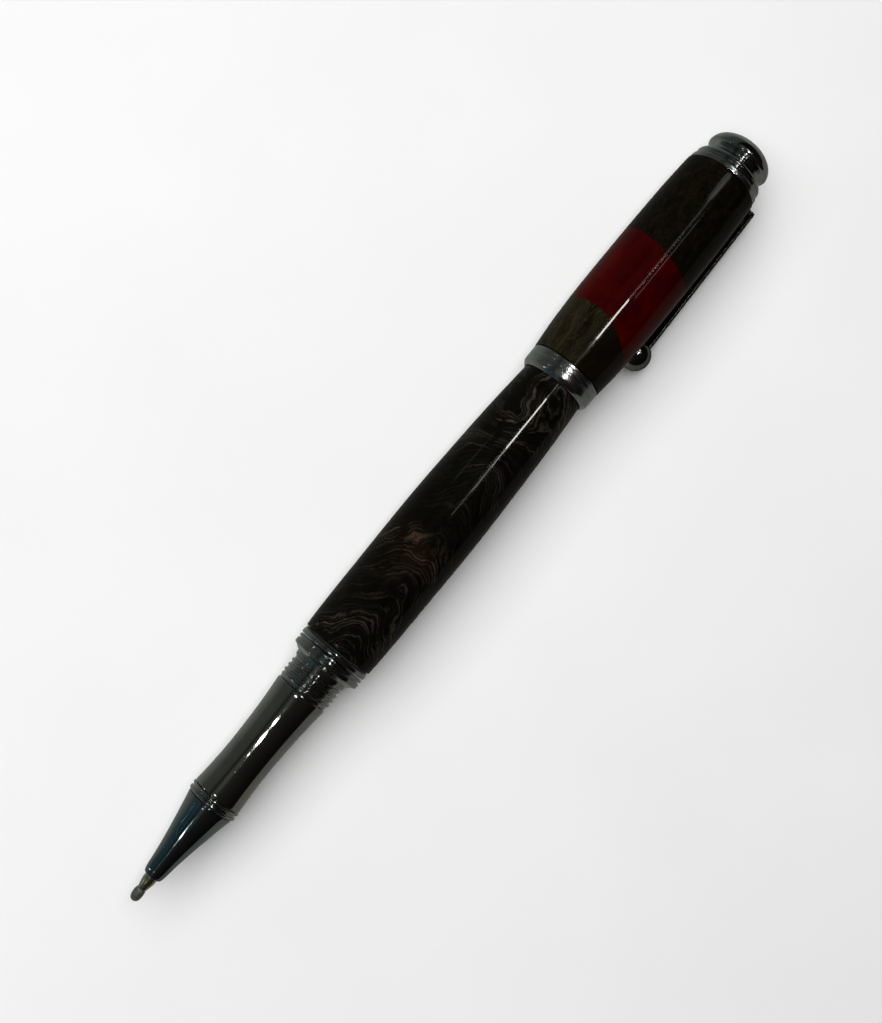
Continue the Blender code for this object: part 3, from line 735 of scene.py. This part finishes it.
def clip_bend(middle):
    """The round bend where the leg turns into the arm."""
    reach, half_wide = 9.36, 1.58
    knuckle = bar_mesh(
        "clip_bend_fine", [half_wide * (k / 6 - 1) for k in range(13)], lambda t: 0.34, lambda t: 0.34,
        middle + TO_CLIP * reach, CLIP_SIDE, ALONG, TO_CLIP, 2.4,
    )
    place("clip_bend_fine", knuckle, CLIP_METAL_PAINTED_SHADE, "clip", "gunmetal")


def clip_ball():
    shape = bmesh.new()
    bmesh.ops.create_uvsphere(shape, u_segments=72, v_segments=36, radius=CLIP_BALL_R * MM)
    bmesh.ops.translate(shape, verts=shape.verts, vec=(Vector((124.3, 0, 0)) + TO_CLIP * CLIP_REACH) * MM)
    mesh = bpy.data.meshes.new("clip_ball_fine")
    shape.to_mesh(mesh)
    shape.free()
    place("clip_ball_fine", mesh, CLIP_METAL_PAINTED_SHADE, "clip", "gunmetal", "clip_ball", sharp=180)


def clip():
    washer = [(156.4, 1.85), (156.4, 6.38), (156.46, 6.5), (156.94, 6.5), (157.0, 6.38), (157.0, 1.85)]
    lathe("clip_ring_fine", washer, GUNMETAL, "cap", "gunmetal", "clip_ring")
    middle = ALONG * 156.7
    clip_leg(middle)
    clip_arm()
    clip_bend(middle)
    clip_ball()


nose_and_grip()
refill_front()
coupler()
barrel()
tail()
cap()
finial()
clip()

# CAD nodes that keep their shape, with finer materials
KEPT = {
    "refill_collar": WHITE, "refill_end_plug": WHITE, "refill_tube": REFILL, "refill_ink_core": INK,
    "refill_spring": STEEL, "barrel_tube": BRASS, "cap_tube": BRASS, "finial_stud": BRASS,
}
for node, look in KEPT.items():
    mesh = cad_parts[node].data
    mesh.materials.clear()
    mesh.materials.append(look)
    mesh.shade_smooth()
    mesh.set_sharp_from_angle(angle=math.radians(SHARP_ANGLE))


# Floor, light and camera

FLOOR_HALF = 2.0  # metres
FLOOR_DROP = 0.00002  # metres, so that the floor doesn't share a plane with the pen's lowest points
LAMP_UP = 300

# The camera looks down on the pen, and the pen leans across the picture
EYE_STATION, EYE_DISTANCE = 59.28, 231
AIM_AHEAD, AIM_LEFT = 21.4, 1.21
PICTURE_LEAN = math.radians(50.66)
LENS = 48.8


def matrix_at(point, x_axis, y_axis, z_axis):
    return Matrix.Translation(point) @ Matrix((x_axis, y_axis, z_axis)).transposed().to_4x4()


def floor():
    mesh = bpy.data.meshes.new("floor")
    shape = bmesh.new()
    bmesh.ops.create_grid(shape, x_segments=1, y_segments=1, size=FLOOR_HALF)
    shape.to_mesh(mesh)
    shape.free()
    made = bpy.data.objects.new("floor", mesh)
    mesh.materials.append(floor_look())
    bpy.context.scene.collection.objects.link(made)
    made.location.z = -FLOOR_DROP
    made.visible_glossy = False


def area_light(
    name, station, right, size, power, up=LAMP_UP, mirrored=True, colour=(1.0, 0.98, 0.95), oval=False,
):
    """A lamp aimed at the pen's axis from a station, so far to the right of the view's middle and so far up.
    A mirrored one shows only in shiny surfaces, and the other only on matt ones. size is along and across."""
    data = bpy.data.lights.new(name, "AREA")
    data.shape = "ELLIPSE" if oval else "RECTANGLE"
    data.size, data.size_y = size[0] * MM, size[1] * MM
    data.energy = power
    data.color = colour
    lamp = bpy.data.objects.new(name, data)
    bpy.context.scene.collection.objects.link(lamp)
    across = TO_RIGHT * right + TO_VIEW * up
    back = across.normalized()
    place_at = (ORIGIN + ALONG * station + across) * MM
    lamp.matrix_world = matrix_at(place_at, ALONG, back.cross(ALONG), back)
    lamp.visible_glossy = mirrored
    lamp.visible_diffuse = not mirrored
    lamp.visible_camera = False


def lamps():
    """Small lamps, each for one highlight, and the soft box that lights the matt surfaces."""
    # Highlights along the wood and the resin, from the barrel to the finial
    area_light("main_lamp", 187, 51, (46, 22), 0.14)
    area_light("step_lamp_one", 158, 51, (12, 18), 0.0065)
    area_light("step_lamp_two", 146, 51, (12, 16), 0.0024)
    area_light("long_lamp", 215, 47, (200, 14), 0.02)
    area_light("double_lamp", 250, 111, (60, 8), 0.006)
    area_light("tail_lamp", 322, 35, (60, 90), 0.03, oval=True)
    area_light("side_lamp", 182, -333, (42, 3), 0.0016)
    # Spots on the grip and the nose
    area_light("grip_lamp_one", -20.8, -50, (3.6, 62), 0.008, oval=True)
    area_light("grip_lamp_two", -26.4, -50, (2.4, 50), 0.0045, oval=True)
    area_light("grip_lamp_three", -13.2, -50, (3, 26), 0.0013, oval=True)
    area_light("nose_lamp", -186, -88, (3, 42), 0.005)
    area_light("window", -168, -282, (5, 50), 0.012, up=103, colour=(0.75, 0.92, 1.0))
    area_light("soft_box", 80, -300, (1400, 1100), 21.0, up=1100, mirrored=False, colour=(1.0, 1.0, 1.0))


def camera():
    data = bpy.data.cameras.new("camera")
    data.lens = LENS
    data.sensor_width = 36.0
    data.clip_start, data.clip_end = 0.01, 10
    made = bpy.data.objects.new("camera", data)
    bpy.context.scene.collection.objects.link(made)
    foot = ORIGIN + ALONG * EYE_STATION
    eye = foot + TO_VIEW * EYE_DISTANCE
    target = foot + ALONG * AIM_AHEAD - TO_RIGHT * AIM_LEFT
    back = (eye - target).normalized()
    along = (ALONG - back * ALONG.dot(back)).normalized()
    across = back.cross(along)
    across = across if across.dot(TO_RIGHT) > 0 else -across
    right = along * math.cos(PICTURE_LEAN) + across * math.sin(PICTURE_LEAN)
    up = along * math.sin(PICTURE_LEAN) - across * math.cos(PICTURE_LEAN)
    made.matrix_world = matrix_at(eye * MM, right, up, back)
    bpy.context.scene.camera = made


def surroundings():
    """Room light that the metal mirrors: pale below on both sides, dim above, bluish past the tip and dark
    past the cap. The camera itself sees plain grey past the floor."""
    world = bpy.data.worlds.new("room")
    world.use_nodes = True
    tree = world.node_tree
    split = tree.nodes.new("ShaderNodeSeparateXYZ")
    tree.links.new(tree.nodes.new("ShaderNodeTexCoord").outputs["Generated"], split.inputs[0])

    def node_math(operation, a, b=0.0, clamp=False):
        node = tree.nodes.new("ShaderNodeMath")
        node.operation = operation
        node.use_clamp = clamp
        for socket, value in zip(node.inputs, (a, b)):
            if isinstance(value, bpy.types.NodeSocket):
                tree.links.new(value, socket)
            else:
                socket.default_value = value
        return node.outputs[0]

    def turned_to(share, colour, other):
        """The colour, changed to the other one where share is 1."""
        node = tree.nodes.new("ShaderNodeMix")
        node.data_type = "RGBA"
        tree.links.new(share, node.inputs["Factor"])
        tree.links.new(colour, node.inputs[6])
        node.inputs[7].default_value = (*other, 1.0)
        return node.outputs[2]

    along = split.outputs["X"]
    roll = node_math("ARCTAN2", split.outputs["Y"], split.outputs["Z"])
    ramp = tree.nodes.new("ShaderNodeValToRGB")
    tree.links.new(node_math("ADD", node_math("DIVIDE", roll, 2 * math.pi), 0.5), ramp.inputs[0])
    grey = (0.96, 1.0, 0.9)
    warm = (1.0, 0.97, 0.86)
    brown = (1.15, 0.95, 0.85)
    # (degrees round the pen's axis from straight up, brightness, tint)
    stops = [
        (-178, 0.24, warm), (-130, 0.15, warm), (-77, 0.125, warm), (-71, 0.004, brown), (-46, 0.007, brown),
        (-8, 0.014, brown), (14, 0.022, grey), (30, 0.085, grey), (46, 0.018, grey), (58, 0.055, grey),
        (98, 0.065, grey), (112, 0.11, grey), (150, 0.20, grey), (178, 0.25, grey),
    ]
    while len(ramp.color_ramp.elements) < len(stops):
        ramp.color_ramp.elements.new(0.5)
    for element, (degrees, level, tone) in zip(ramp.color_ramp.elements, stops):
        element.position = degrees / 360 + 0.5
        element.color = (*(level * part for part in tone), 1.0)

    past_cap = node_math("MULTIPLY", node_math("SUBTRACT", along, 0.5), 5.0, clamp=True)
    overhead = node_math("SUBTRACT", 1.1, node_math("ABSOLUTE", roll))
    overhead = node_math("MULTIPLY", overhead, 5.0, clamp=True)
    share = node_math("MULTIPLY", past_cap, overhead)
    colour = turned_to(share, ramp.outputs["Color"], (0.006, 0.005, 0.0045))
    past_tip = node_math("MULTIPLY", node_math("SUBTRACT", -0.28, along), 6.0, clamp=True)
    leftish = node_math("DIVIDE", node_math("SUBTRACT", roll, 1.25), 0.42)
    leftish = node_math("SUBTRACT", 1.0, node_math("ABSOLUTE", leftish), clamp=True)
    colour = turned_to(node_math("MULTIPLY", past_tip, leftish), colour, (0.016, 0.055, 0.072))
    seen = tree.nodes.new("ShaderNodeLightPath").outputs["Is Camera Ray"]
    colour = turned_to(seen, colour, (0.30, 0.30, 0.295))
    tree.links.new(colour, tree.nodes["Background"].inputs["Color"])
    bpy.context.scene.world = world


floor()
surroundings()
lamps()
camera()
bpy.context.scene.view_settings.view_transform = "Standard"
